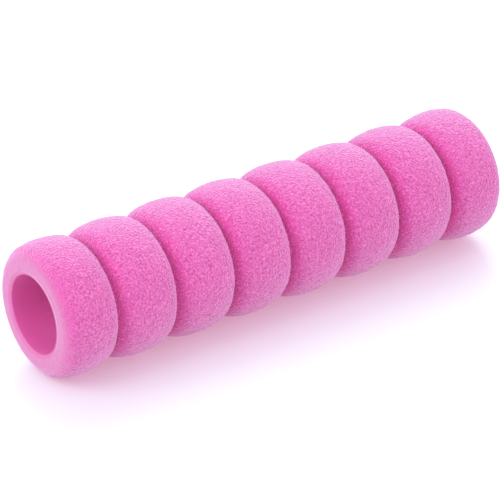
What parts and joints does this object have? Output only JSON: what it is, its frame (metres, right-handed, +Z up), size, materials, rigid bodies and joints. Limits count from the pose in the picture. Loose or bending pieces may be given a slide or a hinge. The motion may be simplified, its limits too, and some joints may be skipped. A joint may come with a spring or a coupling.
{
  "type": "ribbed foam roller sleeve",
  "caption": "Soft foam roller sleeve: a straight tube with rounded ribs all along it, rounded ends and an open smooth bore.",
  "frame": {"origin": "centre of the bore, halfway along the sleeve", "axes": "+X along the bore axis, +Z up with the sleeve lying on the crests of its ribs"},
  "size_m": [0.14, 0.036, 0.036],
  "materials": {
    "foam": "pink ground nitrile foam, fine open grain, matt",
    "skin": "pink closed foam skin, smooth, satin"
  },
  "bodies": {
    "root": {"foam_body": "foam", "bore_skin": "skin"}
  },
  "joints": []
}
